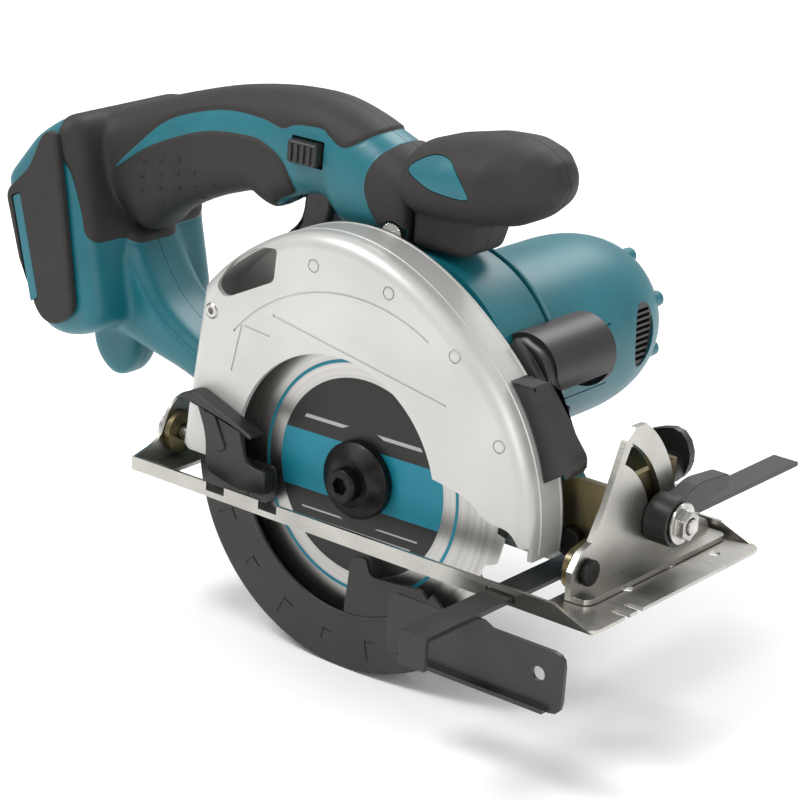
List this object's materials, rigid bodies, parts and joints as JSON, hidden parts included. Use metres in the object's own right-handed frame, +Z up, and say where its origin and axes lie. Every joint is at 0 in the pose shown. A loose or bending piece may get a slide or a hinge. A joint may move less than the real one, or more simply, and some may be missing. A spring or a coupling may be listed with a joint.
{
  "type": "cordless circular saw",
  "caption": "Cordless circular saw with tilting steel base, swinging lower blade guard, rear trigger handle, front knob grip and sliding rip fence; battery not fitted.",
  "frame": {"origin": "underside of the sole plate, in the plane of the arbor and at the middle of the sole's width", "axes": "+X forward in the direction of cut, +Y from the blade side to the motor side, +Z up from the sole"},
  "size_m": [0.3089, 0.2474, 0.208],
  "materials": {
    "teal_plastic": "semi-matt moulded nylon",
    "black_plastic": "fine texture",
    "black_elastomer": "soft matt overmould",
    "painted_cast_alloy": "silver paint on die casting",
    "clear_lens": "clear moulding",
    "copper_alloy": "bright",
    "blackened_steel": "black oxide",
    "bright_steel": "turned",
    "zinc_plated_steel": "yellow passivated zinc",
    "sheet_steel": "plated sheet",
    "blade_steel": "ground disc",
    "black_painted_steel": "black paint"
  },
  "bodies": {
    "saw": {"blade_case": "painted_cast_alloy", "front_deflector": "black_plastic", "bearing_box": "painted_cast_alloy", "gear_housing": "teal_plastic", "gear_bracket": "painted_cast_alloy", "motor_housing": "teal_plastic", "vent_grille": "black_plastic", "lamp_housing": "black_plastic", "lamp_lens": "clear_lens", "handle_shell_right": "teal_plastic", "handle_shell_left": "teal_plastic", "front_grip_right": "black_elastomer", "front_grip_left": "black_elastomer", "grip_insert": "teal_plastic", "terminal_block": "black_plastic", "terminal_blade_1": "copper_alloy", "terminal_blade_2": "copper_alloy", "foot_bumper_right": "black_elastomer", "foot_bumper_left": "black_elastomer", "switch_body": "black_plastic", "spindle_front_bearing": "bright_steel", "spindle_rear_bearing": "bright_steel", "armature_front_bearing": "bright_steel", "armature_rear_bearing": "bright_steel", "field_magnet_ring": "blackened_steel", "carbon_brush_upper": "blackened_steel", "carbon_brush_lower": "blackened_steel", "case_knurled_screw": "bright_steel", "guard_spring": "bright_steel"},
    "blade_set": {"spindle": "bright_steel", "spindle_gear": "blackened_steel", "inner_flange": "blackened_steel", "outer_flange": "blackened_steel", "saw_blade": "blade_steel", "blade_bolt": "blackened_steel"},
    "layshaft_set": {"layshaft": "bright_steel", "layshaft_pinion": "blackened_steel", "layshaft_wheel": "blackened_steel"},
    "armature": {"armature_shaft": "bright_steel", "armature_core": "blackened_steel", "commutator": "copper_alloy", "cooling_fan": "black_plastic"},
    "guard": {"lower_guard": "black_painted_steel", "guard_lever": "black_plastic"},
    "trigger": {"trigger": "black_plastic"},
    "lock_off": {"lock_off_button": "black_plastic"},
    "shaft_lock": {"shaft_lock_button": "blackened_steel"},
    "tilt_frame": {"front_bracket": "zinc_plated_steel", "bevel_front_pin": "blackened_steel", "depth_pivot_screw": "blackened_steel", "rear_pivot_pin": "bright_steel", "depth_guide": "zinc_plated_steel", "bevel_clamp_bolt": "bright_steel", "bevel_nut": "bright_steel"},
    "bevel_lever": {"bevel_lever": "black_plastic"},
    "depth_lever": {"depth_lever": "black_plastic"},
    "base": {"sole_plate": "sheet_steel", "bevel_quadrant": "sheet_steel"},
    "fence": {"rip_fence": "black_painted_steel"},
    "wing_screw": {"fence_wing_screw": "bright_steel"}
  },
  "joints": [
    {"name": "blade_spin", "type": "hinge", "parent": "saw", "child": "blade_set", "pos_m": [0, 0, 0.018], "axis": [0, 1, 0], "continuous": true},
    {"name": "layshaft_spin", "type": "hinge", "parent": "saw", "child": "layshaft_set", "pos_m": [-0.00389, 0, 0.03762], "axis": [0, 1, 0], "continuous": true},
    {"name": "armature_spin", "type": "hinge", "parent": "saw", "child": "armature", "pos_m": [0.006, 0, 0.055], "axis": [0, 1, 0], "continuous": true},
    {"name": "guard_swing", "type": "hinge", "parent": "saw", "child": "guard", "pos_m": [0, 0, 0.018], "axis": [0, 1, 0], "range_deg": [0, 110], "stiffness_Nm_per_rad": 0.15, "springref_deg": -40.11},
    {"name": "trigger_pull", "type": "hinge", "parent": "saw", "child": "trigger", "pos_m": [-0.046, 0, 0.116], "axis": [0, 1, 0], "range_deg": [0, 8], "stiffness_Nm_per_rad": 1.2, "springref_deg": -5.73},
    {"name": "lock_off_press", "type": "slide", "parent": "saw", "child": "lock_off", "axis": [0, 1, 0], "range_m": [0, 0.0025], "stiffness_N_per_m": 800, "springref_m": -0.002},
    {"name": "shaft_lock_press", "type": "slide", "parent": "saw", "child": "shaft_lock", "axis": [-1, 0, 0], "range_m": [0, 0.003], "stiffness_N_per_m": 800, "springref_m": -0.002},
    {"name": "depth_adjust", "type": "hinge", "parent": "saw", "child": "tilt_frame", "pos_m": [0.085, 0, 0.0145], "axis": [0, -1, 0], "range_deg": [0, 33]},
    {"name": "bevel_tilt", "type": "hinge", "parent": "tilt_frame", "child": "base", "pos_m": [0, -0.0315, 0.0105], "axis": [-1, 0, 0], "range_deg": [0, 45]},
    {"name": "bevel_lever_swing", "type": "hinge", "parent": "tilt_frame", "child": "bevel_lever", "pos_m": [0.1, 0.01185, 0.02011], "axis": [1, 0, 0], "range_deg": [0, 60]},
    {"name": "depth_lever_swing", "type": "hinge", "parent": "tilt_frame", "child": "depth_lever", "pos_m": [0.088, 0, 0.029], "axis": [0, -1, 0], "range_deg": [0, 25]},
    {"name": "fence_slide", "type": "slide", "parent": "base", "child": "fence", "axis": [0, 1, 0], "range_m": [-0.09, 0.012]},
    {"name": "wing_screw_turn", "type": "hinge", "parent": "base", "child": "wing_screw", "pos_m": [0.081, 0.044, 0.01], "axis": [0, 0, 1], "range_deg": [-180, 180]}
  ],
  "couplings": [
    {"joint": "layshaft_spin", "follows": "blade_spin", "ratio": -1.5},
    {"joint": "armature_spin", "follows": "blade_spin", "ratio": 6}
  ]
}
